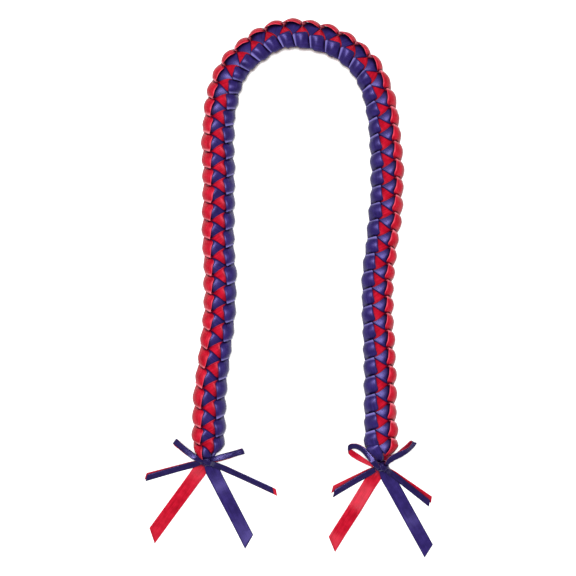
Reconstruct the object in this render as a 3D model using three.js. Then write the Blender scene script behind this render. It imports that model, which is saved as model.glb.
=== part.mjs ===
// Two-colour braided satin ribbon graduation cord, lying face up on a flat surface.
// Millimetres, +Z up. The cord is an open U: its arch is toward +Y and its two
// bow-tied ends are toward -Y. The origin is on the surface, under the middle of the U.
// The red ribbon keeps to the outside of the U and the purple ribbon to the inside.

import * as THREE from 'three';

// Driving dimensions
const wideRibbon = 16;
const narrowRibbon = 7;
const ribbonThickness = 1;
const stitchPitch = 19.9;
const firstRedStitch = 0;
const firstPurpleStitch = -1;
const lastStitch = 51;
const seatGap = 0.3;

// Route of the braid's middle line, a row for every second stitch of the red ribbon.
// x and y are where the line passes, and roll turns the braid about the line:
// a positive roll lifts the purple edge off the surface.
const routeStep = 2;
const routeStart = -4;
const route = [
  { x: -98.0, y: -259.0, roll: 0 },
  { x: -95.4, y: -213.4, roll: 0 },
  { x: -92.6, y: -167.7, roll: 0 },
  { x: -91.2, y: -121.6, roll: 0 },
  { x: -85.6, y: -76.4, roll: 0 },
  { x: -80.6, y: -33.1, roll: 2 },
  { x: -79.4, y: 9.7, roll: 3 },
  { x: -81.5, y: 52.1, roll: -1 },
  { x: -81.4, y: 93.7, roll: -4 },
  { x: -81.0, y: 134.1, roll: -3 },
  { x: -82.0, y: 173.1, roll: 0 },
  { x: -78.1, y: 212.8, roll: 7 },
  { x: -67.4, y: 248.3, roll: 16 },
  { x: -41.6, y: 276.0, roll: 23 },
  { x: -8.0, y: 293.0, roll: 27 },
  { x: 30.7, y: 291.4, roll: 28 },
  { x: 67.5, y: 276.2, roll: 26 },
  { x: 93.8, y: 248.6, roll: 18 },
  { x: 107.5, y: 211.1, roll: 8 },
  { x: 112.0, y: 172.0, roll: 6 },
  { x: 114.6, y: 131.6, roll: 7 },
  { x: 112.9, y: 91.6, roll: 7 },
  { x: 108.3, y: 51.9, roll: 8 },
  { x: 103.8, y: 13.2, roll: 9 },
  { x: 103.3, y: -26.0, roll: 10 },
  { x: 104.8, y: -66.2, roll: 11 },
  { x: 106.2, y: -107.7, roll: 12 },
  { x: 106.7, y: -151.0, roll: 11 },
  { x: 108.0, y: -195.6, roll: 8 },
  { x: 108.0, y: -241.1, roll: 4 },
  { x: 107.5, y: -287.0, roll: 0 },
];

// One stitch of a ribbon, from the moment it enters the other colour's ring on the back,
// round its own ring, to the fold that brings it over the front and on to the next stitch.
// side is toward the ribbon's own edge of the braid, along is toward the next stitch and
// front is away from the surface. The half columns run from the ribbon's middle to one edge.
// In the at column, near and far are the ribbon's own side of the braid and the other side.
const stitchRows = [
  { at: 'back, near', side: 7.5, along: -5.4, front: -2.9, halfSide: 3.5, halfAlong: 4.9, halfFront: -1.0 },
  { at: 'back, far', side: -7.5, along: 5.3, front: -7.6, halfSide: 4.0, halfAlong: 5.7, halfFront: -1.2 },
  { at: 'ring, back', side: -11.6, along: 9.0, front: -6.0, halfSide: 3.2, halfAlong: 3.4, halfFront: -0.4 },
  { at: 'ring, edge', side: -13.0, along: 10.2, front: -0.2, halfSide: 2.4, halfAlong: 2.7, halfFront: 0.0 },
  { at: 'ring, front', side: -11.6, along: 9.1, front: 4.8, halfSide: 3.2, halfAlong: 3.1, halfFront: 0.8 },
  { at: 'front, far', side: -7.5, along: 5.3, front: 7.6, halfSide: 3.9, halfAlong: 5.0, halfFront: 1.1 },
  { at: 'front, near', side: 7.5, along: -5.4, front: 2.5, halfSide: 3.4, halfAlong: 4.8, halfFront: 0.9 },
  { at: 'into fold', side: 11.0, along: -9.3, front: 1.9, halfSide: 4.0, halfAlong: 3.0, halfFront: -0.1 },
  { at: 'fold', side: 12.3, along: -12.8, front: 5.2, halfSide: 4.0, halfAlong: 2.3, halfFront: -2.0 },
  { at: 'out of fold', side: 12.6, along: -10.3, front: 7.8, halfSide: 5.4, halfAlong: 1.9, halfFront: -3.3 },
  { at: 'over front', side: 12.4, along: -3.4, front: 8.2, halfSide: 6.5, halfAlong: 1.0, halfFront: -3.4 },
  { at: 'dive start', side: 12.2, along: 3.9, front: 7.2, halfSide: 5.2, halfAlong: 1.3, halfFront: -3.0 },
  { at: 'dive', side: 12.8, along: 5.6, front: 2.3, halfSide: 3.0, halfAlong: 1.3, halfFront: -1.6 },
];
const outerStart = stitchRows.findIndex((row) => row.at === 'over front');
const ringRows = 5;

// The purple ribbon's last ring holds nothing, so it is pulled in to the braid's middle
const lastRing = [
  { side: -1.0, along: 0.6, front: -4.6, halfSide: 3.5, halfAlong: 4.9, halfFront: -1.0 },
  { side: -5.0, along: 3.4, front: 0.0, halfSide: 3.4, halfAlong: 4.2, halfFront: 0.0 },
  { side: -1.0, along: 0.6, front: 4.6, halfSide: 3.5, halfAlong: 4.9, halfFront: 1.0 },
];

// Gathered ends of the two ribbons, where each runs in to the knot of its bow
const redStart = [
  { side: 8.5, along: -24.6, front: -1.6, halfSide: 7.0, halfAlong: 0.0, halfFront: 0.0 },
  { side: 11.4, along: -21.0, front: 4.0, halfSide: 7.0, halfAlong: 0.4, halfFront: 0.2 },
  { side: 13.0, along: -16.4, front: 6.2, halfSide: 6.0, halfAlong: 1.8, halfFront: -0.4 },
  { side: 14.4, along: -13.6, front: 1.6, halfSide: 3.8, halfAlong: 1.8, halfFront: -0.6 },
];
const purpleStart = [
  { side: 9.5, along: -14.4, front: -3.0, halfSide: 7.0, halfAlong: 0.0, halfFront: 0.0 },
  { side: 9.0, along: -9.6, front: -3.2, halfSide: 4.6, halfAlong: 2.2, halfFront: 0.0 },
];
const redEnd = [
  { side: 11.4, along: 9.0, front: 7.6, halfSide: 6.4, halfAlong: 0.4, halfFront: 0.0 },
  { side: 10.8, along: 18.0, front: 1.6, halfSide: 6.6, halfAlong: 0.2, halfFront: 0.0 },
  { side: 9.0, along: 24.6, front: -3.6, halfSide: 7.0, halfAlong: 0.0, halfFront: 0.0 },
];
const purpleEnd = [
  { side: 10.4, along: 7.2, front: 6.8, halfSide: 6.6, halfAlong: 0.3, halfFront: 0.0 },
  { side: 9.0, along: 14.6, front: -3.6, halfSide: 7.0, halfAlong: 0.0, halfFront: 0.0 },
];

// The braid is drawn in to the width of the knots over its first and last stitch.
// share is what is left of its width.
const gathers = [
  { stitch: -1.2, share: 0.48 },
  { stitch: -0.6, share: 1 },
  { stitch: 51.35, share: 1 },
  { stitch: 52.15, share: 0.46 },
];

// Each end has a knot that gathers the braid, a bow of two narrow ribbons, and the two
// wide ribbon ends. x and y of a ribbon end or a loop's tip are from the knot's middle.
// slant is how far the cut end leans along the ribbon. A loop runs out to its tip and
// back: near is half of its opening at the knot, spread is what it opens by on the way,
// tilt turns it over from lying with one half above the other, and rise lifts its tip.
const knotSize = { x: 9, y: 5.2, z: 7.2 };
const knotHeight = 9.4;
const narrowTailDrop = 4.0;
const loopLift = 5.1;
const loopGap = 0.9;
const loopSteps = 10;

// How a wide ribbon end comes down from its knot and opens to its full width.
// rise is what is left of its height at the knot and width of its full width.
const wideTailStart = { rise: 1, width: 0.62 };
const wideTailCurve = [
  { distance: 14, rise: 0.6, width: 0.9 },
  { distance: 26, rise: 0.16, width: 1 },
  { distance: 40, rise: 0, width: 1 },
];

// How a narrow ribbon end comes down along its length
const narrowTailShares = [0, 0.2, 0.5, 1];
const ends = [
  {
    name: 'left',
    knot: { x: -94.8, y: -201.5 },
    wideTails: [
      { name: 'red_tail', colour: 'red', x: -64.6, y: -88.5, slant: 5.6, startHeight: 3.4 },
      { name: 'purple_tail', colour: 'purple', x: 48.9, y: -95.4, slant: -5.2, startHeight: 5.0 },
    ],
    loops: [
      { name: 'purple_loop_1', colour: 'purple', x: -40, y: 23, near: 2.1, spread: 2.4, tilt: -20, rise: 7 },
      { name: 'red_loop_1', colour: 'red', x: -37.5, y: 21.5, near: 0.7, spread: 1.6, tilt: -20, rise: 7 },
      { name: 'purple_loop_2', colour: 'purple', x: 43.2, y: 10.6, near: 2.1, spread: 2.6, tilt: 12, rise: 4 },
      { name: 'red_loop_2', colour: 'red', x: 40.7, y: 10.0, near: 0.7, spread: 1.8, tilt: 12, rise: 4 },
    ],
    narrowTails: [
      { name: 'purple_bow_end_1', colour: 'purple', x: -71.1, y: -20.8, slant: 2.3, level: 2.2 },
      { name: 'red_bow_end_1', colour: 'red', x: -72.2, y: -18.9, slant: 2.3, level: 0.8 },
      { name: 'purple_bow_end_2', colour: 'purple', x: 76.7, y: -35.5, slant: -2.6, level: 2.2 },
      { name: 'red_bow_end_2', colour: 'red', x: 80.7, y: -39.1, slant: -2.6, level: 0.8 },
    ],
  },
  {
    name: 'right',
    knot: { x: 108.3, y: -207.3 },
    wideTails: [
      { name: 'red_tail', colour: 'red', x: -57.8, y: -92.5, slant: 5.7, startHeight: 3.4 },
      { name: 'purple_tail', colour: 'purple', x: 55.5, y: -100.5, slant: -4.4, startHeight: 5.0 },
    ],
    loops: [
      { name: 'purple_loop_1', colour: 'purple', x: -40, y: 20, near: 2.1, spread: 4.6, tilt: -48, rise: 3 },
      { name: 'red_loop_1', colour: 'red', x: -37.5, y: 19, near: 0.7, spread: 3.6, tilt: -48, rise: 3 },
      { name: 'purple_loop_2', colour: 'purple', x: 38, y: 30, near: 2.1, spread: 2.8, tilt: -25, rise: 6 },
      { name: 'red_loop_2', colour: 'red', x: 36, y: 28.4, near: 0.7, spread: 1.9, tilt: -25, rise: 6 },
    ],
    narrowTails: [
      { name: 'purple_bow_end_1', colour: 'purple', x: -55.7, y: -33.4, slant: 3.4, level: 2.2 },
      { name: 'red_bow_end_1', colour: 'red', x: -57.4, y: -28.4, slant: 3.0, level: 0.8 },
      { name: 'purple_bow_end_2', colour: 'purple', x: 56.2, y: -44.8, slant: -1.8, level: 2.2 },
      { name: 'red_bow_end_2', colour: 'red', x: 58.7, y: -40.5, slant: -1.8, level: 0.8 },
    ],
  },
];

const up = new THREE.Vector3(0, 0, 1);
const degree = Math.PI / 180;
const sharpestMitre = 0.6;
const tangentStep = 1e-4;
const undersideOfBand = 2;
const knotSegments = { around: 12, down: 8 };

function satin(colour) {
  return new THREE.MeshStandardMaterial({ color: colour, roughness: 0.38, metalness: 0 });
}

const materials = {
  red: () => satin(0xc8182c),
  purple: () => satin(0x352a78),
};

// A closed band through a row of sections, each with its middle and its half width.
// Its two faces are split along the same diagonal, so a twisted stretch keeps its thickness.
function ribbonGeometry(sections) {
  const steps = sections.slice(1).map((section, i) => {
    return section.middle.clone().sub(sections[i].middle).normalize();
  });
  const corners = sections.map((section, i) => {
    const before = steps[Math.max(0, i - 1)];
    const after = steps[Math.min(steps.length - 1, i)];
    const normal = before.clone().add(after).cross(section.half).normalize();
    const mitre = Math.max(sharpestMitre, Math.sqrt((1 + before.dot(after)) / 2));
    normal.multiplyScalar(ribbonThickness / 2 / mitre);
    const low = section.middle.clone().sub(section.half);
    const high = section.middle.clone().add(section.half);
    return [
      low.clone().add(normal),
      high.clone().add(normal),
      high.clone().sub(normal),
      low.clone().sub(normal),
    ];
  });
  const triangles = [0, 1, 2, 0, 2, 3];
  for (let i = 0; i + 1 < corners.length; i += 1) {
    for (let side = 0; side < 4; side += 1) {
      const a = 4 * i + side;
      const b = 4 * i + ((side + 1) % 4);
      if (side === undersideOfBand) {
        triangles.push(a, b + 4, b, a, a + 4, b + 4);
      } else {
        triangles.push(a, a + 4, b, b, a + 4, b + 4);
      }
    }
  }
  const last = 4 * (corners.length - 1);
  triangles.push(last, last + 2, last + 1, last, last + 3, last + 2);
  const geometry = new THREE.BufferGeometry().setFromPoints(corners.flat());
  geometry.setIndex(triangles);
  geometry.computeVertexNormals();
  return geometry;
}

function meshOf(name, colour, geometry) {
  const mesh = new THREE.Mesh(geometry, materials[colour]());
  mesh.name = name;
  return mesh;
}

// Braid

// How far the braid's middle line is above the surface when its lowest edge touches it
function restHeight(roll) {
  const sine = Math.sin(roll);
  const cosine = Math.cos(roll);
  const depths = stitchRows.flatMap((row) => [-1, 1].flatMap((edge) => {
    const side = row.side + edge * row.halfSide;
    const front = row.front + edge * row.halfFront;
    return [front * cosine - side * sine, front * cosine + side * sine];
  }));
  return ribbonThickness / 2 + seatGap - Math.min(...depths);
}

const middleLine = new THREE.CatmullRomCurve3(
  route.map((row) => new THREE.Vector3(row.x, row.y, restHeight(row.roll * degree))),
  false,
  'catmullrom',
);
const rollLine = new THREE.CatmullRomCurve3(
  route.map((row, i) => new THREE.Vector3(i, row.roll, 0)),
  false,
  'catmullrom',
);

// The braid's middle, its outward side and its front at a stitch number
function braidFrame(stitch) {
  const t = (stitch - routeStart) / routeStep / (route.length - 1);
  const tangent = middleLine.getPoint(t + tangentStep).sub(middleLine.getPoint(t - tangentStep)).normalize();
  const flatSide = up.clone().cross(tangent).normalize();
  const flatFront = tangent.clone().cross(flatSide);
  const roll = rollLine.getPoint(t).y * degree;
  const side = flatSide.clone().multiplyScalar(Math.cos(roll));
  side.addScaledVector(flatFront, -Math.sin(roll));
  const front = flatFront.clone().multiplyScalar(Math.cos(roll));
  front.addScaledVector(flatSide, Math.sin(roll));
  return { middle: middleLine.getPoint(t), side, front };
}

// What is left of the braid's width at a stitch number
function widthShare(stitch) {
  const next = gathers.findIndex((row) => row.stitch > stitch);
  if (next <= 0) {
    return gathers.at(next).share;
  }
  const before = gathers[next - 1];
  const after = gathers[next];
  const share = (stitch - before.stitch) / (after.stitch - before.stitch);
  return before.share + share * (after.share - before.share);
}

function braidPoint(stitch, mirror, side, along, front) {
  const place = stitch + along / stitchPitch;
  const frame = braidFrame(place);
  return frame.middle.clone()
    .addScaledVector(frame.side, mirror * side * widthShare(place))
    .addScaledVector(frame.front, front);
}

function braidSection(stitch, mirror, row) {
  const [low, high] = [-1, 1].map((edge) => braidPoint(
    stitch,
    mirror,
    row.side + edge * row.halfSide,
    row.along + edge * row.halfAlong,
    row.front + edge * row.halfFront,
  ));
  return {
    middle: low.clone().add(high).multiplyScalar(0.5),
    half: high.clone().sub(low).multiplyScalar(0.5),
  };
}

// The last stitch goes no further than the front of the braid
function lastRows(colour) {
  const rows = stitchRows.slice(0, outerStart + 1);
  if (colour === 'purple') {
    rows.splice(1, ringRows, ...lastRing);
  }
  return rows;
}

// A ribbon of the braid: its gathered start, all of its stitches and its gathered end.
// The purple ribbon mirrors the red one, half a stitch later.
function braidRibbon(colour) {
  const mirror = colour === 'red' ? 1 : -1;
  const delay = colour === 'red' ? 0 : 0.5;
  const first = colour === 'red' ? firstRedStitch : firstPurpleStitch;
  const sections = [];
  if (colour === 'red') {
    redStart.forEach((row) => sections.push(braidSection(first, mirror, row)));
  } else {
    purpleStart.forEach((row) => sections.push(braidSection(first + delay, mirror, row)));
  }
  for (let stitch = first; stitch <= lastStitch; stitch += 1) {
    const rows = stitch < lastStitch ? stitchRows : lastRows(colour);
    rows.forEach((row) => sections.push(braidSection(stitch + delay, mirror, row)));
  }
  const endRows = colour === 'red' ? redEnd : purpleEnd;
  endRows.forEach((row) => sections.push(braidSection(lastStitch + delay, mirror, row)));
  return ribbonGeometry(sections);
}

// Ends

function knotGeometry() {
  const round = new THREE.SphereGeometry(1, knotSegments.around, knotSegments.down);
  return round.scale(knotSize.x, knotSize.y, knotSize.z);
}

// How far the knot reaches along a level direction, at a height from its middle
function knotReach(direction, height = 0) {
  const middleReach = Math.hypot(direction.x * knotSize.x, direction.y * knotSize.y);
  return middleReach * Math.sqrt(1 - (height / knotSize.z) ** 2);
}

// A wide ribbon end: it leaves the knot, comes down and lies flat, cut at a slant
function wideTail(knot, tail) {
  const end = new THREE.Vector3(tail.x, tail.y, 0);
  const ahead = end.clone().normalize();
  const across = new THREE.Vector3(-ahead.y, ahead.x, 0);
  const flat = ribbonThickness / 2;
  const rows = [
    { distance: knotReach(ahead) + seatGap, ...wideTailStart },
    ...wideTailCurve,
    { distance: end.length(), rise: 0, width: 1 },
  ];
  const sections = rows.map((row, i) => {
    const half = across.clone().multiplyScalar(row.width * wideRibbon / 2);
    if (i === rows.length - 1) {
      half.addScaledVector(ahead, tail.slant);
    }
    const middle = knot.clone().addScaledVector(ahead, row.distance);
    return { middle: middle.setZ(flat + row.rise * (tail.startHeight - flat)), half };
  });
  return ribbonGeometry(sections);
}

// A narrow ribbon end of the bow: out of the knot's side and down to the surface.
// The red one starts under the purple one.
function narrowTail(knot, tail) {
  const end = new THREE.Vector3(tail.x, tail.y, 0);
  const length = end.length();
  const ahead = end.clone().normalize();
  const across = new THREE.Vector3(-ahead.y, ahead.x, 0);
  const start = knotReach(ahead) + seatGap;
  const drop = knotHeight - narrowTailDrop;
  const sections = narrowTailShares.map((share) => {
    const middle = knot.clone().addScaledVector(ahead, start + share * (length - start));
    const half = across.clone().multiplyScalar(narrowRibbon / 2);
    half.addScaledVector(ahead, share === 1 ? tail.slant : 0);
    return { middle: middle.setZ(tail.level + drop * (1 - share) ** 2), half };
  });
  return ribbonGeometry(sections);
}

// A loop of the bow: out to its tip and back to the knot
function bowLoop(knot, loop) {
  const tip = new THREE.Vector3(loop.x, loop.y, 0);
  const ahead = tip.clone().normalize();
  const across = new THREE.Vector3(-ahead.y, ahead.x, 0);
  const opening = up.clone().applyAxisAngle(ahead, -loop.tilt * degree);
  const half = across.clone().applyAxisAngle(ahead, -loop.tilt * degree).multiplyScalar(narrowRibbon / 2);
  const start = knotReach(ahead, loopLift - loop.near) + loopGap;
  const sections = [];
  for (let step = 0; step <= loopSteps; step += 1) {
    const turn = Math.PI * step / loopSteps;
    const out = Math.sin(turn);
    const middle = knot.clone().addScaledVector(ahead, start + (tip.length() - start) * out);
    middle.addScaledVector(up, loopLift + loop.rise * out);
    middle.addScaledVector(opening, loop.near * Math.cos(turn) + loop.spread * Math.sin(2 * turn));
    sections.push({ middle, half });
  }
  return ribbonGeometry(sections);
}

function bowedEnd(end) {
  const knot = new THREE.Vector3(end.knot.x, end.knot.y, knotHeight);
  const group = new THREE.Group();
  const knotMesh = meshOf(`${end.name}_knot`, 'purple', knotGeometry());
  knotMesh.position.copy(knot);
  group.add(knotMesh);
  end.wideTails.forEach((tail) => {
    group.add(meshOf(`${end.name}_${tail.name}`, tail.colour, wideTail(knot, tail)));
  });
  end.narrowTails.forEach((tail) => {
    group.add(meshOf(`${end.name}_${tail.name}`, tail.colour, narrowTail(knot, tail)));
  });
  end.loops.forEach((loop) => {
    group.add(meshOf(`${end.name}_${loop.name}`, loop.colour, bowLoop(knot, loop)));
  });
  return group;
}

const cord = new THREE.Group();
cord.add(meshOf('red_braid_ribbon', 'red', braidRibbon('red')));
cord.add(meshOf('purple_braid_ribbon', 'purple', braidRibbon('purple')));
ends.forEach((end) => cord.add(bowedEnd(end)));

export default cord;
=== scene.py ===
import math

import bpy
import numpy as np
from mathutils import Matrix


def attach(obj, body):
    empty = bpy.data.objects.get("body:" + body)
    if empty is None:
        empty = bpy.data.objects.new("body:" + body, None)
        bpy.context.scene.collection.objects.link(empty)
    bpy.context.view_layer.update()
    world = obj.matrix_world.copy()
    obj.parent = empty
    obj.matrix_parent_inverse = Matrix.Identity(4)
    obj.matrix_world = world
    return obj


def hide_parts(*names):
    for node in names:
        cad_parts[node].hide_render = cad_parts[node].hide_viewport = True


# Two-colour braided satin ribbon cord, laid face up on a pale surface.
# Sizes and tables are in millimetres, as in the part's own source, and MM turns them to metres.

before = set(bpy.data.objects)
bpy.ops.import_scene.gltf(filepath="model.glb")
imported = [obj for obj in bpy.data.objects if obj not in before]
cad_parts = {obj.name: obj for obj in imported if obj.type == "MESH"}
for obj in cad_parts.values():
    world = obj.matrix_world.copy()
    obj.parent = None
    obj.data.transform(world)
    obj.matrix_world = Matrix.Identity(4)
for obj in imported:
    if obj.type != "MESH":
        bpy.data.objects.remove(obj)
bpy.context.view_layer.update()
MM = 0.001

# Ribbons
WIDE_RIBBON = 16.0
NARROW_RIBBON = 7.0
SATIN_THICKNESS = 0.42
EDGE_SHARE = 0.55  # of the thickness, at a ribbon's two edges

# The braid as a whole
CAD_THICKNESS = 1.0  # of the source's ribbons; with SEAT_GAP it sets how high the braid lies
SEAT_GAP = 0.3
STITCH_PITCH = 19.9
FIRST_STITCH = -1
LAST_STITCH = 52
DELAY = {"red": 0.0, "purple": 0.5}  # in stitches
MIRROR = {"red": 1.0, "purple": -1.0}

# Route of the braid's middle line: x, y and the roll about it in degrees. There is a row for
# every ROUTE_STEP stitches, and the first is at stitch ROUTE_START.
ROUTE_STEP = 2
ROUTE_START = -4
ROUTE = [
    (-98.0, -259.0, 0), (-95.4, -213.4, 0), (-92.6, -167.7, 0), (-91.2, -121.6, 0),
    (-85.6, -76.4, 0), (-80.6, -33.1, 2), (-79.4, 9.7, 3), (-81.5, 52.1, -1),
    (-81.4, 93.7, -4), (-81.0, 134.1, -3), (-82.0, 173.1, 0), (-78.1, 212.8, 7),
    (-67.4, 248.3, 16), (-41.6, 276.0, 23), (-8.0, 293.0, 27), (30.7, 291.4, 28),
    (67.5, 276.2, 26), (93.8, 248.6, 18), (107.5, 211.1, 8), (112.0, 172.0, 6),
    (114.6, 131.6, 7), (112.9, 91.6, 7), (108.3, 51.9, 8), (103.8, 13.2, 9),
    (103.3, -26.0, 10), (104.8, -66.2, 11), (106.2, -107.7, 12), (106.7, -151.0, 11),
    (108.0, -195.6, 8), (108.0, -241.1, 4), (107.5, -287.0, 0),
]

# One stitch, as sections of the ribbon in the order it runs. Columns: side, along and front of
# the section's middle, the same three of half its width, and cup, which is how far the ribbon's
# middle stands out from its two edges. Purple is mirrored side to side.
SIDE, ALONG, FRONT, HALF_SIDE, HALF_FRONT, CUP = 0, 1, 2, 3, 5, 6
STITCH = {
    "back, near": (7.5, -5.4, -2.9, 4.6, 6.4, -1.0, 0.4),
    "back, far": (-7.5, 5.3, -7.6, 4.6, 6.4, -1.2, 0.8),
    "ring, back": (-11.0, 9.0, -5.4, 3.8, 5.0, -0.2, 0.3),
    "ring, edge": (-12.9, 10.2, -0.4, 3.0, 4.6, 0.0, 0.0),
    "ring, front": (-11.6, 9.1, 4.6, 3.8, 4.6, 0.8, -0.2),
    "front, far": (-7.5, 5.3, 6.8, 4.6, 6.4, 1.0, -1.8),
    "front, near": (7.5, -5.4, 2.6, 4.6, 6.2, 0.9, -1.2),
    "into fold": (11.0, -11.4, 2.6, 3.8, 3.2, -0.8, 0.0),
    "fold": (13.5, -14.3, 5.1, 4.1, 2.0, -4.8, 0.3),
    "out of fold": (13.3, -11.8, 6.9, 4.7, 1.5, -5.5, 1.4),
    "over front": (13.4, -5.8, 6.8, 5.9, 0.2, -6.4, 2.8),
    "dive start": (12.0, 0.2, 5.8, 6.3, 0.4, -6.0, 2.6),
    "dive": (11.8, 4.5, 1.8, 5.0, 1.6, -4.4, 0.8),
}
SECTIONS = list(STITCH)
ROWS = np.array(list(STITCH.values()))

# How strongly a crease at a section carries a painted highlight, from 0 to 1
CREASE_HIGHLIGHTS = {"fold": 1.0, "out of fold": 0.3}
ROW_CREASE_HIGHLIGHTS = np.array([CREASE_HIGHLIGHTS.get(name, 0.0) for name in SECTIONS])

# The float is the outer stretch that shows as a patch. No two are pulled alike: how far its
# sections stray in each column.
FLOAT_ROWS = [SECTIONS.index(name) for name in ("out of fold", "over front", "dive start")]
FLOAT_STRAY = (0.5, 0.6, 0.4, 0.4, 0.4, 0.4, 0.5)
STRAY_SEED = 10

# Round the arch the inner side is tilted up, so the purple floats reach further down there, by
# this much at these stitches
ARCH_REACH = {18: 0.0, 22: 1.8, 28: 1.8, 32: 0.0}

# The last stitch has nothing to enclose, so LAST_RING takes the place of its RING sections, and
# it stops at LAST_ROW. Red keeps all of those sections, and purple only the first four.
RING = slice(SECTIONS.index("back, far"), SECTIONS.index("front, far") + 1)
LAST_RING = np.array([
    (-1.0, 0.6, -4.6, 3.5, 4.9, -1.0, 0.0),
    (-5.0, 3.4, 0.0, 3.4, 4.2, 0.0, 0.0),
    (-1.0, 0.6, 4.6, 3.5, 4.9, 1.0, 0.0),
])
LAST_ROW = SECTIONS.index("over front")
LAST_ROWS_KEPT = {"red": None, "purple": 4}

# From the first knot to the first stitch, and from the last stitch to the second knot
STARTS = {
    "red": np.array([
        (1.0, -17.0, -3.0, 5.0, 0.0, 0.0, 0.6),
        (4.0, -11.0, -4.0, 5.0, 3.0, -0.4, 0.4),
    ]),
    "purple": np.array([
        (-2.0, -26.0, -4.5, 5.0, 0.0, 0.0, 0.6),
        (-8.5, -17.0, -6.8, 4.2, 4.6, -0.8, 0.4),
        (-11.6, -11.4, -5.0, 2.8, 3.2, -0.2, 0.2),
        (-12.9, -10.2, -0.4, 2.2, 2.7, 0.0, 0.0),
        (-11.6, -11.0, 4.6, 3.2, 3.1, 0.8, -0.2),
        (-7.0, -15.2, 6.6, 4.6, 6.0, 1.0, -1.4),
        (4.0, -24.6, 3.4, 4.6, 5.0, 0.6, -1.0),
        (8.0, -27.5, 0.0, 4.0, 1.0, 0.4, 0.2),
        (9.0, -20.0, -3.4, 5.0, 3.0, 0.0, 0.4),
    ]),
}
ENDS = {
    "red": np.array([
        (12.6, 1.4, 6.2, 6.6, 0.8, -3.4, 1.4),
        (10.5, 8.0, 2.4, 8.0, 1.0, -1.0, 0.8),
        (6.0, 15.0, -1.0, 9.0, 0.0, 0.0, 0.6),
    ]),
    "purple": np.array([
        (10.0, -20.6, 4.6, 5.6, 4.8, -0.4, 0.0),
        (12.2, -19.2, 7.6, 6.9, 4.0, -1.6, 0.2),
        (12.0, -15.0, 8.8, 7.1, 3.9, -2.2, 0.9),
        (11.6, -8.7, 8.4, 9.8, 3.4, -1.6, 1.1),
        (9.5, -2.7, 6.6, 10.5, 2.6, -0.8, 1.0),
        (6.3, 3.3, 3.2, 9.6, 1.6, -0.2, 0.8),
        (3.6, 9.3, -0.4, 8.2, 0.8, 0.0, 0.6),
    ]),
}

# Stitch numbers as the tables above give them, and where the knots draw them to
DRAWN = {
    -2.6: -1.66, -1.5: -1.26, -1.0: -0.78, 0.5: 0.5, 49.5: 49.5, 52.0: 51.78, 52.6: 52.2,
    53.6: 52.5,
}
# Shares of the braid's width and depth at stitch numbers as drawn
WIDTH_SHARES = {
    -1.75: 0.28, -1.45: 0.4, -1.26: 0.57, -1.07: 0.74, -0.83: 0.88, -0.55: 1.0, 18: 1.0,
    20: 1.045, 22: 1.045, 26: 1.03, 28: 1.0, 36: 1.01, 38: 1.05, 40: 1.0, 48: 1.0, 50: 1.05,
    51.5: 1.05, 51.7: 0.88, 51.85: 0.68, 52.1: 0.42, 52.5: 0.3,
}
DEPTH_SHARES = {-1.75: 0.62, -1.2: 1.0, 51.9: 1.0, 52.5: 0.62}

# Knots
KNOT_SIZE = (9.0, 5.2, 7.2)  # half its width, length and height
KNOT_HEIGHT = 9.4
WRAP_CROWN = 0.16  # how much closer a wrap's edges lie than its middle
WRAP_CROWN_POWER = 2.4
PLEAT_DEPTH = 0.045
PLEAT_COUNT = 2.2
PLEAT_SWAY = 0.8
CORE_SHARE = 0.86  # of the knot's width and height
CORE_END = 0.8  # where its rounded shape is cut off
CORE_FOLDS = 11
CORE_FOLD_DEPTH = 0.06
CORE_FOLD_SHARES = (0.4, 0.6)  # in its middle, and added towards its ends

# Ribbon ends
WIDE_TAIL_TUCK = 2.0  # how far it starts under the knot
WIDE_TAIL_START = {"red": 3.4, "purple": 5.4}  # height there
WIDE_TAIL_START_WIDTH = 0.7
WIDE_TAIL_START_BOW = 0.9
WIDE_TAIL_BOW = 0.25
WIDE_TAIL_SHARES = (0.12, 0.25, 0.38, 0.55, 0.72, 0.86, 1.0)  # of its length, for its heights
NARROW_TAIL_TUCK = 4.0
NARROW_TAIL_RISE = 6.0
NARROW_TAIL_START_WIDTH = 0.6
NARROW_TAIL_BOW = 0.15
NARROW_TAIL_SHARES = (0.18, 0.4, 0.62, 0.82, 1)
NARROW_TAIL_ROLL = {"red": math.radians(5), "purple": math.radians(14)}
# The one that crosses the knot's front first: distance from its middle, height, share of width
CROSSING_TAIL = ("purple", 2)
CROSSING = [
    (-8.0, 11.5, 0.5), (-4.6, 16.9, 0.74), (0.0, 18.2, 0.8), (4.6, 17.1, 0.86),
    (9.6, 10.4, 0.95),
]

# Bow loops
LOOP_INSET = 0.6  # of the red ribbon inside the purple one
LOOP_BOW = 0.25
LOOP_END_WIDTH = 0.5
LOOP_END_ROWS = 2

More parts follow.
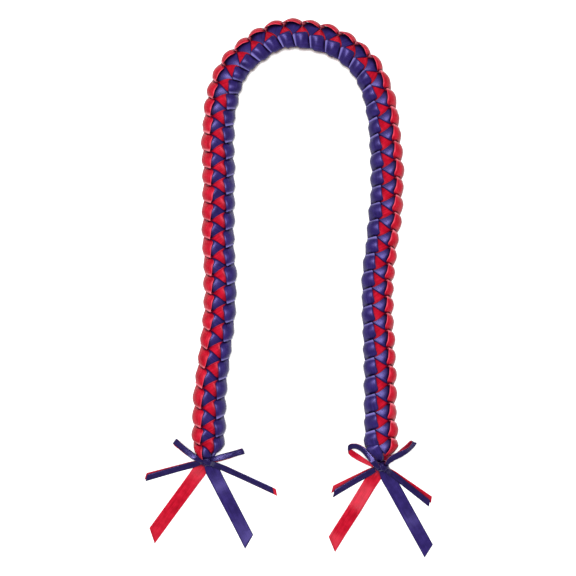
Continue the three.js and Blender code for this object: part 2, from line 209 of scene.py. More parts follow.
# Places are from the knot's middle.
# wraps, red_wrap: reach in x and z, offset and slope along y, width, where round the knot the
# slope starts and where across the wrap the pleats do.
# wide: colour, x, y, slant, heights along.
# narrow: colour, number, x, y, slant, height at the end.
# loops: rows of x, y and height, then the direction of the ribbon's width.
KNOTS = [
    {
        "name": "left",
        "knot": (-94.8, -201.5),
        "wraps": [
            (8.9, 7.0, 0.4, 0.9, 6.6, 0.0, 0.6),
            (8.0, 7.5, -0.4, -1.8, 5.0, 0.3, 2.4),
        ],
        "red_wrap": (7.4, 5.9, -0.6, 1.0, 4.6, 0.0, 1.2),
        "wide": [
            ("red", -64.6, -88.5, 5.6, (2.8, 3.4, 3.0, 1.5, 0.3, 0.1, 0.1)),
            ("purple", 48.9, -95.4, -5.2, (3.2, 2.4, 2.6, 1.5, 0.3, 0.4, 0.9)),
        ],
        "narrow": [
            ("purple", 1, -71.1, -20.8, 2.3, 2.2),
            ("red", 1, -72.2, -18.9, 2.3, 0.8),
            ("purple", 2, 76.7, -35.5, -2.6, 2.2),
            ("red", 2, 80.9, -37.8, -2.6, 0.8),
        ],
        "loops": [
            [
                (-1.6, -0.4, 13.6, 1.6, 3.4, 0.4), (-6.2, 1.4, 17.2, 1.8, 3.2, -0.2),
                (-13.4, 5.7, 19.2, 2.2, 2.8, -0.8), (-23.4, 12.7, 17.2, 2.2, 2.8, -0.3),
                (-31.4, 18.8, 14.0, 2.2, 2.8, 0.2), (-36.4, 22.9, 11.6, 2.1, 2.8, 0.0),
                (-37.4, 23.3, 9.8, 2.1, 2.8, 0.0), (-36.2, 21.0, 8.2, 2.1, 2.8, 0.0),
                (-30.4, 16.0, 7.0, 2.2, 2.8, 0.0), (-23.8, 10.8, 7.4, 2.2, 2.8, 0.2),
                (-16.2, 5.2, 8.6, 2.1, 2.8, 0.4), (-8.6, 2.2, 9.8, 1.8, 2.9, 0.4),
            ],
            [
                (1.6, 1.4, 13.8, 0.6, -3.4, 1.0), (7.0, 2.9, 16.8, 0.7, -3.4, 0.8),
                (15.6, 5.0, 17.6, 0.8, -3.4, 0.4), (26.0, 7.6, 15.8, 0.9, -3.4, 0.2),
                (35.0, 9.9, 13.2, 1.1, -3.4, 0.0), (41.4, 11.4, 11.2, 1.3, -3.3, 0.0),
                (42.6, 11.7, 9.6, 1.4, -3.3, 0.0), (40.6, 11.1, 8.2, 1.2, -3.3, 0.0),
                (33.0, 8.6, 7.4, 0.9, -3.4, 0.0), (24.0, 5.6, 7.6, 0.8, -3.4, 0.2),
                (15.4, 2.4, 8.6, 1.0, -3.4, 0.4), (8.6, 0.0, 9.8, 0.8, -3.4, 0.4),
            ],
        ],
    },
    {
        "name": "right",
        "knot": (108.3, -207.3),
        "wraps": [
            (8.6, 7.0, -0.6, -1.2, 6.0, 0.0, 0.2),
            (7.8, 7.6, -1.6, 1.4, 4.8, 0.4, 3.0),
        ],
        "red_wrap": (7.5, 6.0, -1.6, 2.4, 4.8, 0.0, 1.2),
        "wide": [
            ("red", -57.8, -92.5, 5.7, (2.4, 1.4, 2.4, 4.2, 2.4, 1.0, 1.8)),
            ("purple", 55.5, -100.5, -4.4, (3.2, 2.2, 1.2, 0.3, 1.1, 0.9, 0.4)),
        ],
        "narrow": [
            ("purple", 1, -55.7, -33.4, 3.4, 2.2),
            ("red", 1, -57.4, -28.4, 3.0, 0.8),
            ("purple", 2, 56.2, -44.8, -1.8, 2.2),
            ("red", 2, 58.7, -40.5, -1.8, 0.8),
        ],
        "loops": [
            [
                (-1.4, -4.2, 13.2, 2.6, 2.0, 1.0), (-4.6, -1.0, 17.4, 2.4, 2.3, 1.2),
                (-9.6, 5.5, 20.4, 2.2, 2.6, 0.0), (-16.0, 13.0, 19.0, 1.9, 2.8, 0.4),
                (-23.1, 20.2, 16.8, 1.3, 2.9, 1.4), (-30.1, 23.4, 15.0, 0.3, 3.1, 1.6),
                (-36.6, 22.6, 12.6, -0.8, 3.1, 1.4), (-39.2, 19.2, 10.4, -0.2, 3.3, 1.0),
                (-35.4, 15.4, 8.4, 1.4, 3.1, 0.6), (-28.4, 10.6, 7.2, 1.5, 3.1, 0.2),
                (-18.4, 4.6, 7.6, 1.7, 3.0, 0.2), (-9.6, 0.0, 9.2, 1.8, 3.0, 0.4),
            ],
            [
                (4.4, -2.0, 12.6, -3.0, 0.6, 1.4), (5.2, 3.4, 17.2, -2.6, 1.4, 1.6),
                (10.8, 9.4, 18.4, -1.8, 2.4, 1.0), (22.4, 15.1, 16.8, -1.3, 2.6, 0.8),
                (31.4, 20.0, 14.6, -1.8, 1.9, 2.3), (36.8, 25.8, 12.8, -2.4, 1.4, 2.1),
                (37.8, 28.2, 11.0, -2.8, 1.3, 1.6), (35.6, 27.4, 9.4, -2.4, 2.2, 1.2),
                (29.8, 21.8, 8.0, -1.9, 2.6, 0.8), (22.8, 15.6, 7.4, -1.9, 2.6, 0.6),
                (15.2, 9.8, 8.0, -1.9, 2.6, 0.6), (7.6, 4.0, 9.4, -1.9, 2.6, 0.6),
            ],
        ],
    },
]

# Fineness of the meshes: columns across a ribbon and length of a step along it
BRAID_MESH = (10, 1.5)
WIDE_TAIL_MESH = (11, 2.0)
NARROW_TAIL_MESH = (9, 1.2)
LOOP_MESH = (9, 0.9)
WRAP_COLUMNS, WRAP_STEPS = 17, 96
CORE_ROWS, CORE_STEPS = 19, 72

# Small numbers that keep the splines clear of their ends and of a division by nothing
END_MARGIN = 1e-9
LEAST_STEP = 1e-6
LEAST_LENGTH = 1e-12
TANGENT_STEP = 1e-4  # of the route's whole length

# Materials. Colours are linear: the ribbon's own from dark to light; its shine, which tints its
# specular and is also a painted highlight on creases; the painted shade put into its hollows; and
# its woven edges, which show by their share and on red are a painted highlight as well. The
# crease share is how much painted highlight a crease gets.
# gloss is the shader's specular level, and the roughness varies between its two values.
SATIN_LOOKS = {
    "red": {
        "name": "red_satin",
        "dark": (0.16, 0.001, 0.005),
        "base": (0.3, 0.002, 0.012),
        "light": (0.45, 0.01, 0.028),
        "shine": (0.95, 0.26, 0.33),
        "painted_shade": (0.028, 0.0, 0.008),
        "selvedge_and_edge_highlight": (0.8, 0.1, 0.16),
        "selvedge_and_edge_highlight_share": 0.34,
        "crease_highlight_share": 0.5,
        "gloss": 0.26,
        "roughness": (0.3, 0.44),
    },
    "purple": {
        "name": "purple_satin",
        "dark": (0.0055, 0.0025, 0.03),
        "base": (0.0125, 0.0065, 0.062),
        "light": (0.026, 0.016, 0.112),
        "shine": (0.42, 0.36, 0.95),
        "painted_shade": (0.004, 0.001, 0.012),
        "selvedge_and_edge_highlight": (0.006, 0.003, 0.03),
        "selvedge_and_edge_highlight_share": 0.6,
        "crease_highlight_share": 0.34,
        "gloss": 0.42,
        "roughness": (0.29, 0.42),
    },
    "narrow purple": {
        "name": "narrow_purple_satin",
        "dark": (0.0045, 0.0022, 0.021),
        "base": (0.0085, 0.0048, 0.038),
        "light": (0.017, 0.011, 0.07),
        "shine": (0.42, 0.36, 0.95),
        "painted_shade": (0.004, 0.001, 0.012),
        "selvedge_and_edge_highlight": (0.004, 0.002, 0.018),
        "selvedge_and_edge_highlight_share": 0.6,
        "crease_highlight_share": 0.34,
        "gloss": 0.36,
        "roughness": (0.17, 0.26),
    },
}
NARROW_SATIN = {"red": "red", "purple": "narrow purple"}
# Scales are of the UV layer "ribbon", 0 to 1 across and in metres along
STREAK_SCALE, STREAK_DETAIL, STREAK_SHARE = (34.0, 40.0, 1.0), 4.0, 0.6
PATCH_SCALE, PATCH_DETAIL, PATCH_SHARE = (2.2, 120.0, 1.0), 2.0, 0.4
TINT_PLACES = {"dark": 0.32, "base": 0.5, "light": 0.7}
# The selvedge band; on red it also carries a painted highlight along the edges
SELVEDGE_AND_HIGHLIGHT_WIDTHS = (0.055, 0.02)  # where it starts to show and where it shows in full
# Where a crease's painted highlight starts to show and where it is full
CREASE_RANGE = (0.3, 0.8)
# Painted shade in hollows: distance in metres, and the openness at which that shade is full and
# at which there is none
WIDE_HOLLOW_SHADE = (0.009, 0.4, 0.85)
FINE_HOLLOW_SHADE = (0.0032, 0.35, 0.8)
HOLLOW_SAMPLES = 8
WEAVE_SCALE = 900.0
WEAVE_STRENGTH, WEAVE_DEPTH = 0.05, 0.0002
RIPPLE_STRENGTH, RIPPLE_DEPTH = 0.3, 0.0005
ANISOTROPY = 0.7
# Sockets of a Mix node that mixes colours
MIX_FACTOR, MIX_A, MIX_B, MIX_RESULT = 0, 6, 7, 2

# Camera, floor and lights
VIEW_WIDTH = 672.8
VIEW_CENTRE = (-0.58, -0.58)
LENS = 85.0
SENSOR = 36.0
FLOOR_REACH = 6  # in metres
FLOOR_COLOUR = (0.8, 0.8, 0.8, 1)
FLOOR_ROUGHNESS = 0.9
# Place and size in metres, and watts
LIGHTS = {
    "key": ((-0.08, 0.2, 2.65), 0.7, 104),
    "fill": ((-0.7, 0.5, 2.2), 1.4, 10),
}
WORLD_COLOUR = (1, 1, 1, 1)
WORLD_STRENGTH = 0.5


# Smooth lines through the tables

def with_ends(rows):
    """Rows with one more before the first and after the last, straight on."""
    rows = np.asarray(rows, float)
    return np.vstack([2 * rows[:1] - rows[1:2], rows, 2 * rows[-1:] - rows[-2:-1]])


def catmull_rom(rows, place):
    """Uniform Catmull-Rom through rows, at places counted in rows, as the part's source does."""
    place = np.clip(place, 0, len(rows) - 1 - END_MARGIN)
    rows = with_ends(rows)
    index = np.floor(place).astype(int)
    t = (place - index)[:, None]
    a, b, c, d = (rows[index + k] for k in range(4))
    v0, v1 = (c - a) / 2, (d - b) / 2
    return (2 * b - 2 * c + v0 + v1) * t**3 + (-3 * b + 3 * c - 2 * v0 - v1) * t**2 + v0 * t + b


def even_spline(rows, step):
    """Centripetal Catmull-Rom through rows that start with a ribbon's low and high edge.

    It is sampled about every step along the ribbon's middle.
    """
    rows = with_ends(rows)
    middle = (rows[:, :3] + rows[:, 3:6]) / 2
    lengths = np.linalg.norm(np.diff(middle, axis=0), axis=1)
    knots = np.concatenate([[0], np.cumsum(np.sqrt(np.maximum(lengths, LEAST_STEP)))])
    out = []
    for i in range(1, len(rows) - 2):
        count = max(2, int(math.ceil(lengths[i] / step)))
        t = np.linspace(knots[i], knots[i + 1], count, endpoint=False)[:, None]
        t0, t1, t2, t3 = knots[i - 1:i + 3]
        p0, p1, p2, p3 = rows[i - 1:i + 3]
        a1 = (t1 - t) / (t1 - t0) * p0 + (t - t0) / (t1 - t0) * p1
        a2 = (t2 - t) / (t2 - t1) * p1 + (t - t1) / (t2 - t1) * p2
        a3 = (t3 - t) / (t3 - t2) * p2 + (t - t2) / (t3 - t2) * p3
        b1 = (t2 - t) / (t2 - t0) * a1 + (t - t0) / (t2 - t0) * a2
        b2 = (t3 - t) / (t3 - t1) * a2 + (t - t1) / (t3 - t1) * a3
        out.append((t2 - t) / (t2 - t1) * b1 + (t - t1) / (t2 - t1) * b2)
    out.append(rows[-2:-1])
    return np.vstack(out)


def read_table(table, place):
    """A table's value at a place, straight from one of its entries to the next."""
    return np.interp(place, list(table), list(table.values()))


def unit(vectors):
    lengths = np.linalg.norm(vectors, axis=-1, keepdims=True)
    return vectors / np.maximum(lengths, LEAST_LENGTH)


# The braid's own frame

def rest_height(roll):
    """How high the middle line lies so that the rolled braid just clears the surface."""
    sine, cosine = math.sin(roll), math.cos(roll)
    depths = []
    for row in ROWS:
        for edge in (-1, 1):
            side = row[SIDE] + edge * row[HALF_SIDE]
            front = row[FRONT] + edge * row[HALF_FRONT]
            depths += [front * cosine - side * sine, front * cosine + side * sine]
    return CAD_THICKNESS / 2 + SEAT_GAP - min(depths)


MIDDLE_LINE = [(x, y, rest_height(math.radians(roll))) for x, y, roll in ROUTE]
ROLL_LINE = [(roll,) for x, y, roll in ROUTE]


def braid_frame(stitch):
    """The middle line and the braid's side and front directions at stitch numbers."""
    place = (stitch - ROUTE_START) / ROUTE_STEP
    nudge = TANGENT_STEP * (len(ROUTE) - 1)
    middle = catmull_rom(MIDDLE_LINE, place)
    after, before = (catmull_rom(MIDDLE_LINE, place + way * nudge) for way in (1, -1))
    tangent = unit(after - before)
    flat_side = unit(np.cross([0.0, 0.0, 1.0], tangent))
    flat_front = np.cross(tangent, flat_side)
    roll = np.radians(catmull_rom(ROLL_LINE, place))
    side = flat_side * np.cos(roll) - flat_front * np.sin(roll)
    front = flat_front * np.cos(roll) + flat_side * np.sin(roll)
    return middle, side, front


def to_world(points, mirror):
    """Points as side, stitches times the pitch and front, to the model's frame."""
    flat = points.reshape(-1, 3)
    stitch = read_table(DRAWN, flat[:, 1] / STITCH_PITCH)
    middle, side, front = braid_frame(stitch)
    width = read_table(WIDTH_SHARES, stitch)[:, None]
    depth = read_table(DEPTH_SHARES, stitch)[:, None]
    out = middle + mirror * side * flat[:, :1] * width + front * flat[:, 2:] * depth
    return out.reshape(points.shape)


# Meshes

def band_grid(sections, columns):
    """The middle sheet of a band through sections of low edge, high edge and cup."""
    low, high, cup = sections[:, :3], sections[:, 3:6], sections[:, 6]
    w = np.linspace(-1, 1, columns)
    to_low, to_high = 1 - w[None, :, None], 1 + w[None, :, None]
    flat = low[:, None, :] * to_low / 2 + high[:, None, :] * to_high / 2
    tangent = unit(np.gradient((low + high) / 2, axis=0))
    normal = unit(np.cross(high - low, tangent))
    bow = cup[:, None] * (1 - w[None, :] ** 2)
    return flat + normal[:, None, :] * bow[:, :, None]


def grid_normals(sheet):
    return unit(np.cross(np.gradient(sheet, axis=0), np.gradient(sheet, axis=1)))


def lengths_of(sheet):
    """How far along the ribbon each row of its sheet is."""
    centre = sheet[:, sheet.shape[1] // 2]
    return np.concatenate([[0], np.cumsum(np.linalg.norm(np.diff(centre, axis=0), axis=1))])


def band_faces(rows, columns):
    """The faces of a closed band whose top grid of vertices is followed by its under grid."""
    top = np.arange(rows * columns).reshape(rows, columns)
    under = top + rows * columns
    corners = [
        (top[:-1, :-1], top[1:, :-1], top[1:, 1:], top[:-1, 1:]),
        (under[:-1, :-1], under[:-1, 1:], under[1:, 1:], under[1:, :-1]),
        (top[:-1, 0], under[:-1, 0], under[1:, 0], top[1:, 0]),
        (top[:-1, -1], top[1:, -1], under[1:, -1], under[:-1, -1]),
        (top[0, :-1], top[0, 1:], under[0, 1:], under[0, :-1]),
        (top[-1, :-1], under[-1, :-1], under[-1, 1:], top[-1, 1:]),
    ]
    return np.concatenate([np.stack([c.ravel() for c in four], axis=1) for four in corners])


def ribbon_object(name, sheet, lengths=None, crease_highlights=None):
    """A closed band of satin round its middle sheet, a grid with one row for each section.

    lengths gives how far along the ribbon each row is, and creases how strongly a painted
    highlight lies on it at a fold line, from 0 to 1.
    """
    rows, columns = sheet.shape[:2]
    lengths = lengths_of(sheet) if lengths is None else lengths
    crease_highlights = np.zeros(rows) if crease_highlights is None else crease_highlights
    taper = np.ones(columns)
    taper[0] = taper[-1] = EDGE_SHARE
    offset = grid_normals(sheet) * (SATIN_THICKNESS / 2 * taper)[None, :, None]
    vertices = np.concatenate([sheet + offset, sheet - offset]).reshape(-1, 3)
    mesh = bpy.data.meshes.new(name)
    mesh.from_pydata((vertices * MM).tolist(), [], band_faces(rows, columns).tolist())
    vertex_of_loop = np.empty(len(mesh.loops), dtype=np.int32)
    mesh.loops.foreach_get("vertex_index", vertex_of_loop)
    across = np.tile(np.linspace(0, 1, columns), rows)
    layers = {
        "ribbon": (across, np.repeat(lengths * MM, columns)),
        # painted highlight strength of each row's crease
        "wear": (np.repeat(crease_highlights, columns), np.zeros(rows * columns)),
    }
    for layer_name, (u, v) in layers.items():
        places = np.stack([np.tile(u, 2), np.tile(v, 2)], axis=1)
        layer = mesh.uv_layers.new(name=layer_name)
        layer.data.foreach_set("uv", places[vertex_of_loop].ravel())
    mesh.polygons.foreach_set("use_smooth", np.ones(len(mesh.polygons), dtype=bool))
    mesh.update()
    made = bpy.data.objects.new(name, mesh)
    bpy.context.scene.collection.objects.link(made)
    return made


# The braid

def last_stitch(colour):
    """The last stitch's rows and crease highlights: red ends in its float, purple after its ring.
    """
    after_ring = slice(RING.stop, LAST_ROW + 1)
    rows = np.vstack([ROWS[:RING.start], LAST_RING, ROWS[after_ring]])
    crease_highlights = np.concatenate(
        [ROW_CREASE_HIGHLIGHTS[:RING.start], np.zeros(len(LAST_RING)), ROW_CREASE_HIGHLIGHTS[after_ring]]
    )
    kept = LAST_ROWS_KEPT[colour]
    return rows[:kept], crease_highlights[:kept]


def braid_rows(colour):
    """Every section of a ribbon as low edge, high edge, cup and its crease's painted highlight.

    Along is in stitches times the pitch.
    """
    chance = np.random.default_rng(STRAY_SEED)
    blocks = [(FIRST_STITCH, STARTS[colour], np.zeros(len(STARTS[colour])))]
    for stitch in range(FIRST_STITCH, LAST_STITCH):
        rows = ROWS.copy()
        rows[FLOAT_ROWS] += chance.uniform(-1, 1, len(FLOAT_STRAY)) * FLOAT_STRAY
        if colour == "purple":
            for column in (FRONT, HALF_FRONT):
                rows[FLOAT_ROWS, column] -= read_table(ARCH_REACH, stitch) / 2
        blocks.append((stitch, rows, ROW_CREASE_HIGHLIGHTS))
    blocks.append((LAST_STITCH, *last_stitch(colour)))
    blocks.append((LAST_STITCH, ENDS[colour], np.zeros(len(ENDS[colour]))))
    out = []
    for stitch, rows, crease_highlights in blocks:
        middle, half = rows[:, :HALF_SIDE].copy(), rows[:, HALF_SIDE:CUP]
        middle[:, ALONG] += (stitch + DELAY[colour]) * STITCH_PITCH
        out.append(np.column_stack([middle - half, middle + half, rows[:, CUP], crease_highlights]))
    return np.vstack(out)


def braid_ribbon(colour):
    columns, step = BRAID_MESH
    fine = even_spline(braid_rows(colour), step)
    sheet = to_world(band_grid(fine, columns), MIRROR[colour])
    made = ribbon_object(f"{colour}_braid", sheet, crease_highlights=np.clip(fine[:, 7], 0, 1))
    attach(made, "root")
    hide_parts(f"{colour}_braid_ribbon")
    made.data.materials.append(SATIN[colour])


# Ribbon ends and bow loops

def small_ribbon(node, kind, sections, fineness):
    """A ribbon of the bow or an end, through sections of low edge, high edge and cup."""
    columns, step = fineness
    made = ribbon_object(f"{node}_satin", band_grid(even_spline(sections, step), columns))
    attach(made, "root")
    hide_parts(node)
    made.data.materials.append(SATIN[kind])
    return made


def section(middle, half, cup):
    return np.concatenate([middle - half, middle + half, [cup]])


def heading(x, y):
    """A ribbon end's length, the directions along and across it and where it leaves the knot."""
    length = math.hypot(x, y)
    ahead = np.array([x, y, 0.0]) / length
    across = np.array([-ahead[1], ahead[0], 0.0])
    reach = math.hypot(ahead[0] * KNOT_SIZE[0], ahead[1] * KNOT_SIZE[1])
    return length, ahead, across, reach


def wide_tail(end, knot, colour, x, y, slant, heights):
    length, ahead, across, reach = heading(x, y)
    start = reach - WIDE_TAIL_TUCK
    rows = [(start / length, WIDE_TAIL_START[colour], WIDE_TAIL_START_WIDTH, WIDE_TAIL_START_BOW)]
    for share, height in zip(WIDE_TAIL_SHARES, heights):
        rows.append((share, height, 1.0, WIDE_TAIL_BOW))
    sections = []
    for i, (share, height, width, bow) in enumerate(rows):
        half = across * width * WIDE_RIBBON / 2
        if i == len(rows) - 1:
            half = half + ahead * slant
        middle = knot + ahead * length * share
        middle[2] = SATIN_THICKNESS / 2 + WIDE_TAIL_BOW + height
        sections.append(section(middle, half, bow))
    made = small_ribbon(f"{end}_{colour}_tail", colour, sections, WIDE_TAIL_MESH)


def narrow_tail(end, knot, colour, number, x, y, slant, level):
    length, ahead, across, reach = heading(x, y)
    across[2] = math.tan(NARROW_TAIL_ROLL[colour]) * (1 if across[1] > 0 else -1)
    start = reach - NARROW_TAIL_TUCK
    rows = [(start, level + NARROW_TAIL_RISE, NARROW_TAIL_START_WIDTH)]
    if (colour, number) == CROSSING_TAIL:
        rows = list(CROSSING)
    for share in NARROW_TAIL_SHARES:
        height = level + NARROW_TAIL_RISE * (1 - share) ** 3
        rows.append((start + share * (length - start), height, 1.0))
    sections = []
    for i, (distance, height, width) in enumerate(rows):
        half = across * width * NARROW_RIBBON / 2
        if i == len(rows) - 1:
            half = half + ahead * slant
        middle = knot + ahead * distance
        middle[2] = height
        sections.append(section(middle, half, NARROW_TAIL_BOW))
    node = f"{end}_{colour}_bow_end_{number}"
    small_ribbon(node, NARROW_SATIN[colour], sections, NARROW_TAIL_MESH)


def bow_loop(end, knot, number, rows):
    """A loop's purple ribbon and the red one inside it, from the knot's front to its back."""
    rows = np.array(rows, float)
    middle = rows[:, :3] + [knot[0], knot[1], 0.0]
    last = len(rows) - 1
    widths = {0: LOOP_END_WIDTH, LOOP_END_ROWS: 1, last - LOOP_END_ROWS: 1, last: LOOP_END_WIDTH}
    drawn = read_table(widths, np.arange(len(rows)))
    half = unit(rows[:, 3:6]) * NARROW_RIBBON / 2 * drawn[:, None]
    inward = unit(np.cross(half, unit(np.gradient(middle, axis=0))))
    if np.dot(inward[0], middle[-1] - middle[0]) < 0:
        inward = -inward
    bows = np.full((len(rows), 1), LOOP_BOW)
    for colour, inset in (("purple", 0.0), ("red", LOOP_INSET)):
        low, high = middle + inward * inset - half, middle + inward * inset + half
        sections = np.concatenate([low, high, bows], axis=1)
        node = f"{end}_{colour}_loop_{number}"
        small_ribbon(node, NARROW_SATIN[colour], sections, LOOP_MESH)


# Knots

def wrap_sheet(knot, reach_x, reach_z, offset, slope, width, turn, phase):
    """One pleated wrap of ribbon round the gathered braid, closed on itself."""
    angle = np.linspace(0, 2 * math.pi, WRAP_STEPS + 1)
    w = np.linspace(-1, 1, WRAP_COLUMNS)
    sway = PLEAT_SWAY * np.sin(angle * 2 + phase)[:, None]
    pleat = 1 + PLEAT_DEPTH * np.cos(PLEAT_COUNT * math.pi * w[None, :] + phase + sway)
    pleat = pleat - WRAP_CROWN * np.abs(w[None, :]) ** WRAP_CROWN_POWER
    side = np.cos(angle)[:, None] * reach_x * pleat
    height = np.sin(angle)[:, None] * reach_z * pleat
    along = offset + slope * np.cos(angle + turn)[:, None] + w[None, :] * width / 2
    return np.stack([knot[0] + side, knot[1] + along, knot[2] + height], axis=2)


def core_sheet(knot):
    """The bunched neck under the wraps, drawn into lengthwise folds."""
    angle = np.linspace(0, 2 * math.pi, CORE_STEPS + 1)
    share = np.linspace(-1, 1, CORE_ROWS)
    middle, to_ends = CORE_FOLD_SHARES
    depth = middle + to_ends * np.abs(share)[:, None]
    fold = 1 + CORE_FOLD_DEPTH * np.cos(CORE_FOLDS * angle)[None, :] * depth
    girth = np.sqrt(1 - (CORE_END * share) ** 2)[:, None] * fold * CORE_SHARE
    side = np.cos(angle)[None, :] * KNOT_SIZE[0] * girth
    height = np.sin(angle)[None, :] * KNOT_SIZE[2] * girth
    along = np.broadcast_to((share * KNOT_SIZE[1])[:, None], side.shape)
    return np.stack([knot[0] + side, knot[1] + along, knot[2] + height], axis=2)


def join(name, parts):
    bpy.ops.object.select_all(action="DESELECT")
    for part in parts:
        part.select_set(True)
    bpy.context.view_layer.objects.active = parts[0]
    bpy.ops.object.join()
    parts[0].name = name
    return parts[0]


def knot_pieces(end, knot, wraps, red_wrap):
    """The core with its purple wraps, and the red wrap that lies under them."""
    core_lengths = np.linspace(0, 2 * KNOT_SIZE[1], CORE_ROWS)
    parts = [ribbon_object(f"{end}_core", core_sheet(knot), core_lengths)]
    for wrap in wraps:
        parts.append(ribbon_object(f"{end}_wrap", wrap_sheet(knot, *wrap)))
    made = join(f"{end}_knot_satin", parts)
    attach(made, "root")
    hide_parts(f"{end}_knot")
    made.data.materials.append(SATIN["narrow purple"])
    under = ribbon_object(f"{end}_knot_red_wrap", wrap_sheet(knot, *red_wrap))
    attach(under, "root")
    under.data.materials.append(SATIN["red"])


# Materials

def satin(name, dark, base, light, shine, painted_shade, selvedge_and_edge_highlight, selvedge_and_edge_highlight_share, crease_highlight_share, gloss,
          roughness):
    """Satin ribbon: lengthwise streaks, a woven selvedge and a soft sheen across its length.

    Its colour also carries painted highlights on creases and along red's selvedge,
    and painted shade in hollows.
    """
    material = bpy.data.materials.new(name)
    material.use_nodes = True
    nodes, links = material.node_tree.nodes, material.node_tree.links
    shader = nodes["Principled BSDF"]

    def add(kind, output, inputs, **settings):
        """The output of a new node, whose inputs are values or other nodes' outputs."""
        node = nodes.new(f"ShaderNode{kind}")
        for key, value in settings.items():
            setattr(node, key, value)
        for key, value in inputs.items():
            if isinstance(value, bpy.types.NodeSocket):
                links.new(value, node.inputs[key])
            else:
                node.inputs[key].default_value = value
        return node.outputs[output]

    def maths(operation, a, b):
        return add("Math", 0, {0: a, 1: b}, operation=operation)

    def from_uv(layer):
        place = add("UVMap", "UV", {}, uv_map=layer)
        return place, add("SeparateXYZ", "X", {0: place})

    def noise(scale, detail):
        place = add("Mapping", 0, {"Vector": uv, "Scale": scale})
        return add("TexNoise", "Fac", {"Vector": place, "Scale": 1.0, "Detail": detail})

    def ramp(value, start, stop):
        """From 0 where the value is start to 1 where it is stop."""
        return add("MapRange", 0, {"Value": value, "From Min": start, "From Max": stop})

    def mix(factor, a, b):
        inputs = {MIX_FACTOR: factor, MIX_A: a, MIX_B: b}
        return add("Mix", MIX_RESULT, inputs, data_type="RGBA")

    def openness(distance, low, high):
        """How open the surface is within a distance, from 0 at low to 1 at high."""
        inputs = {"Distance": distance}
        return ramp(add("AmbientOcclusion", "AO", inputs, samples=HOLLOW_SAMPLES), low, high)

    uv, across = from_uv("ribbon")
    streaks = noise(STREAK_SCALE, STREAK_DETAIL)
    patches = noise(PATCH_SCALE, PATCH_DETAIL)
    grain = maths(
        "ADD", maths("MULTIPLY", streaks, STREAK_SHARE), maths("MULTIPLY", patches, PATCH_SHARE)
    )
    tint = add("ValToRGB", "Color", {"Fac": grain})
    stops = tint.node.color_ramp.elements
    stops[0].position, stops[1].position = TINT_PLACES["dark"], TINT_PLACES["light"]
    stops.new(TINT_PLACES["base"])
    for stop, colour in zip(stops, (dark, base, light)):
        stop.color = (*colour, 1)

    # Woven selvedge at both edges; red's is far lighter than its ribbon, a painted highlight as
    # well
    from_edge = maths("MINIMUM", across, maths("SUBTRACT", 1.0, across))
    edge = ramp(from_edge, *SELVEDGE_AND_HIGHLIGHT_WIDTHS)
    edged = mix(maths("MULTIPLY", edge, selvedge_and_edge_highlight_share), tint, (*selvedge_and_edge_highlight, 1))
    # Painted highlight along creases, in the shine colour
    crease = ramp(from_uv("wear")[1], *CREASE_RANGE)
    crease_highlighted = mix(maths("MULTIPLY", crease, crease_highlight_share), edged, (*shine, 1))
    # Painted shade in hollows, kept off the creases that carry a painted highlight
    lit = maths("MINIMUM", openness(*WIDE_HOLLOW_SHADE), openness(*FINE_HOLLOW_SHADE))
    shaded = mix(maths("MAXIMUM", lit, crease), (*painted_shade, 1), crease_highlighted)
    links.new(shaded, shader.inputs["Base Color"])

    weave = add(
        "TexWave", "Fac", {"Scale": WEAVE_SCALE, "Vector": uv}, bands_direction="Y"
    )
    woven = add(
        "Bump", "Normal", {"Strength": WEAVE_STRENGTH, "Distance": WEAVE_DEPTH, "Height": weave}
    )
    rippled = add("Bump", "Normal", {
        "Strength": RIPPLE_STRENGTH, "Distance": RIPPLE_DEPTH, "Height": streaks, "Normal": woven,
    })
    links.new(rippled, shader.inputs["Normal"])

    rough = add(
        "MapRange", 0, {"Value": patches, "To Min": roughness[0], "To Max": roughness[1]}
    )
    links.new(rough, shader.inputs["Roughness"])
    tangent = add("Tangent", 0, {}, direction_type="UV_MAP", uv_map="ribbon")
    links.new(tangent, shader.inputs["Tangent"])
    shader.inputs["Anisotropic"].default_value = ANISOTROPY
    shader.inputs["Specular IOR Level"].default_value = gloss
    shader.inputs["Specular Tint"].default_value = (*shine, 1)
    return material


SATIN = {kind: satin(**look) for kind, look in SATIN_LOOKS.items()}


# Camera, floor and lights

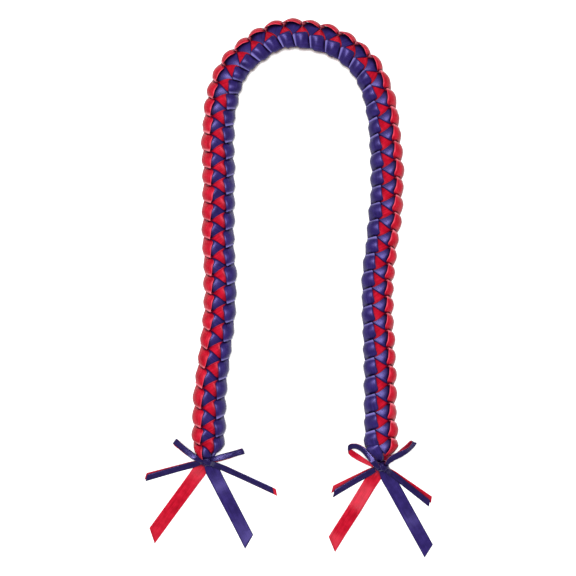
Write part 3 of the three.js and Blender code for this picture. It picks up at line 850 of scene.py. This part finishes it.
def in_scene(name, data):
    made = bpy.data.objects.new(name, data)
    bpy.context.scene.collection.objects.link(made)
    return made


def add_camera():
    data = bpy.data.cameras.new("camera")
    data.lens = LENS
    data.sensor_width = SENSOR
    camera = in_scene("camera", data)
    x, y = VIEW_CENTRE
    camera.location = (x * MM, y * MM, VIEW_WIDTH * MM * LENS / SENSOR)
    bpy.context.scene.camera = camera


def add_floor():
    material = bpy.data.materials.new("floor")
    material.use_nodes = True
    shader = material.node_tree.nodes["Principled BSDF"]
    shader.inputs["Base Color"].default_value = FLOOR_COLOUR
    shader.inputs["Roughness"].default_value = FLOOR_ROUGHNESS
    mesh = bpy.data.meshes.new("floor")
    low, high = -FLOOR_REACH, FLOOR_REACH
    corners = [(low, low, 0), (high, low, 0), (high, high, 0), (low, high, 0)]
    mesh.from_pydata(corners, [], [(0, 1, 2, 3)])
    mesh.materials.append(material)
    floor = in_scene("floor", mesh)


def add_light(name, place, size, power):
    """A round area light that faces the frame's origin."""
    data = bpy.data.lights.new(name, "AREA")
    data.shape = "DISK"
    data.size = size
    data.energy = power
    light = in_scene(name, data)
    light.location = place
    x, y, z = place
    light.rotation_euler = (0, math.atan2(math.hypot(x, y), z), math.atan2(y, x))


add_camera()
add_floor()
for light_name, light in LIGHTS.items():
    add_light(light_name, *light)
world = bpy.data.worlds.new("world")
bpy.context.scene.world = world
world.use_nodes = True
background = world.node_tree.nodes["Background"]
background.inputs["Color"].default_value = WORLD_COLOUR
background.inputs["Strength"].default_value = WORLD_STRENGTH
bpy.context.scene.view_settings.view_transform = "Standard"

# The cord
for ribbon_colour in ("red", "purple"):
    braid_ribbon(ribbon_colour)
for end in KNOTS:
    centre = np.array([*end["knot"], KNOT_HEIGHT])
    knot_pieces(end["name"], centre, end["wraps"], end["red_wrap"])
    for row in end["wide"]:
        wide_tail(end["name"], centre, *row)
    for row in end["narrow"]:
        narrow_tail(end["name"], centre, *row)
    for loop_number, loop_rows in enumerate(end["loops"], 1):
        bow_loop(end["name"], centre, loop_number, loop_rows)
